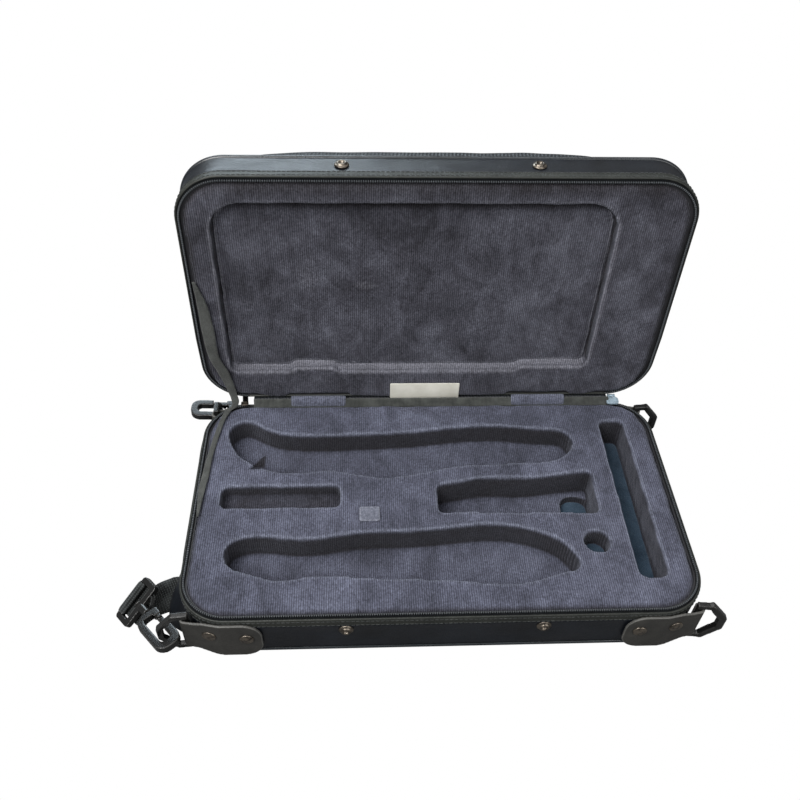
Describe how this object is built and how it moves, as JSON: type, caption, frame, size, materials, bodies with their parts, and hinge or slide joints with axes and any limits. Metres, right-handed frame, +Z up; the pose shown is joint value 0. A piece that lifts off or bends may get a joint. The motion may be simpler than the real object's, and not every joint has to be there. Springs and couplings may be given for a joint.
{
  "type": "oboe case",
  "caption": "Soft-covered oblong instrument case, open at its hinged lid, with shaped plush cavities, zip edges, corner rings and a clip-on shoulder strap.",
  "frame": {"origin": "centre of the flat face under the base, on the ground", "axes": "+X to the right seen from the front, +Y to the hinge side, +Z up"},
  "size_m": [0.4266, 0.2737, 0.2512],
  "materials": {
    "cover_fabric": "coated black weave",
    "piping": "black vinyl bead",
    "binding": "dark bound edge",
    "shell": "moulded shell",
    "zip_tape": "woven tape",
    "zip_teeth": "moulded teeth",
    "plush": "short ribbed plush",
    "plush_dark": "short ribbed plush",
    "felt": "blue felt",
    "plate": "satin plate",
    "hinge_steel": "plain steel",
    "stud_brass": "dulled brass",
    "slider_metal": "grey enamel",
    "leather": "grained grey-brown",
    "black_plastic": "moulded black",
    "gate_plastic": "moulded black",
    "webbing": "ribbed webbing"
  },
  "bodies": {
    "base": {"base_hinge_leaves": "hinge_steel", "base_liner": "plush", "base_outer_panel": "cover_fabric", "base_piping": "piping", "base_press_studs": "stud_brass", "base_ribbon": "zip_tape", "base_rim_binding": "binding", "base_shell": "shell", "base_side_cover": "cover_fabric", "base_spine_strip": "binding", "base_zip_tape": "zip_tape", "base_zip_teeth": "zip_teeth", "corner_rivets": "stud_brass", "hinge_patches": "plush", "hinge_pins": "hinge_steel", "hook_frame_front": "black_plastic", "hook_frame_rear": "black_plastic", "leather_front_left": "leather", "leather_front_right": "leather", "leather_rear_left": "leather", "leather_rear_right": "leather", "pocket_felts": "felt", "strap_webbing": "webbing", "touch_patch": "zip_tape", "zip_slider": "slider_metal", "zip_stop": "slider_metal"},
    "lid": {"label_plate": "plate", "lid_hinge_leaves": "hinge_steel", "lid_outer_panel": "cover_fabric", "lid_pad": "plush", "lid_panel": "plush_dark", "lid_piping": "piping", "lid_press_studs": "stud_brass", "lid_ribbon": "zip_tape", "lid_rim_binding": "binding", "lid_shell": "shell", "lid_side_cover": "cover_fabric", "lid_spine_strip": "binding", "lid_zip_tape": "zip_tape", "lid_zip_teeth": "zip_teeth", "outer_pocket": "cover_fabric", "pocket_zip": "zip_tape"},
    "hook_front": {"hook_front": "black_plastic"},
    "hook_gate_front": {"hook_gate_front": "gate_plastic"},
    "hook_gate_rear": {"hook_gate_rear": "gate_plastic"},
    "hook_rear": {"hook_rear": "black_plastic"},
    "pocket_pull": {"pocket_pull": "slider_metal"},
    "pocket_slider": {"pocket_slider": "slider_metal"},
    "ring_front_left": {"ring_front_left": "black_plastic"},
    "ring_front_right": {"ring_front_right": "black_plastic"},
    "ring_rear_left": {"ring_rear_left": "black_plastic"},
    "ring_rear_right": {"ring_rear_right": "black_plastic"},
    "zip_pull": {"zip_pull": "slider_metal"}
  },
  "joints": [
    {"name": "lid_hinge", "type": "hinge", "parent": "base", "child": "lid", "pos_m": [0, 0.1015, 0.0455], "axis": [1, 0, 0], "range_deg": [0, 92]},
    {"name": "ring_front_left_swing", "type": "hinge", "parent": "base", "child": "ring_front_left", "pos_m": [-0.175, -0.0943, 0.0224], "axis": [0, 0, 1], "range_deg": [-2, 2]},
    {"name": "ring_front_right_swing", "type": "hinge", "parent": "base", "child": "ring_front_right", "pos_m": [0.175, -0.0943, 0.0224], "axis": [0, 0, 1], "range_deg": [-74, 55]},
    {"name": "ring_rear_left_swing", "type": "hinge", "parent": "base", "child": "ring_rear_left", "pos_m": [-0.175, 0.0943, 0.0224], "axis": [0, 0, 1], "range_deg": [-8, 8]},
    {"name": "ring_rear_right_swing", "type": "hinge", "parent": "base", "child": "ring_rear_right", "pos_m": [0.175, 0.0943, 0.0224], "axis": [0, 0, 1], "range_deg": [-55, 75]},
    {"name": "hook_front_swivel", "type": "hinge", "parent": "base", "child": "hook_front", "pos_m": [-0.21195, -0.071, 0.0145], "axis": [0.6494, -0.7445, 0.1551], "range_deg": [-4, 4]},
    {"name": "hook_gate_front_press", "type": "hinge", "parent": "hook_front", "child": "hook_gate_front", "pos_m": [-0.20002, -0.07829, 0.01659], "axis": [0.1019, -0.1169, -0.9879], "range_deg": [0, 20], "stiffness_Nm_per_rad": 0.02, "springref_deg": -17.19},
    {"name": "hook_rear_swivel", "type": "hinge", "parent": "base", "child": "hook_rear", "pos_m": [-0.1546, 0.11505, 0.0216], "axis": [-0.9992, 0, 0.04], "range_deg": [-4, 4]},
    {"name": "hook_gate_rear_press", "type": "hinge", "parent": "hook_rear", "child": "hook_gate_rear", "pos_m": [-0.16809, 0.11925, 0.02214], "axis": [0.04, 0, 0.9992], "range_deg": [0, 13], "stiffness_Nm_per_rad": 0.02, "springref_deg": -17.19},
    {"name": "zip_pull_swing", "type": "hinge", "parent": "base", "child": "zip_pull", "pos_m": [0.1545, 0.1043, 0.0454], "axis": [1, 0, 0], "range_deg": [0, 75]},
    {"name": "pocket_zip_slide", "type": "slide", "parent": "lid", "child": "pocket_slider", "axis": [-1, 0, 0], "range_m": [0, 0.2]},
    {"name": "pocket_pull_swing", "type": "hinge", "parent": "pocket_slider", "child": "pocket_pull", "pos_m": [0.092, 0.16312, 0.19694], "axis": [1, 0, 0], "range_deg": [0, 160]}
  ]
}
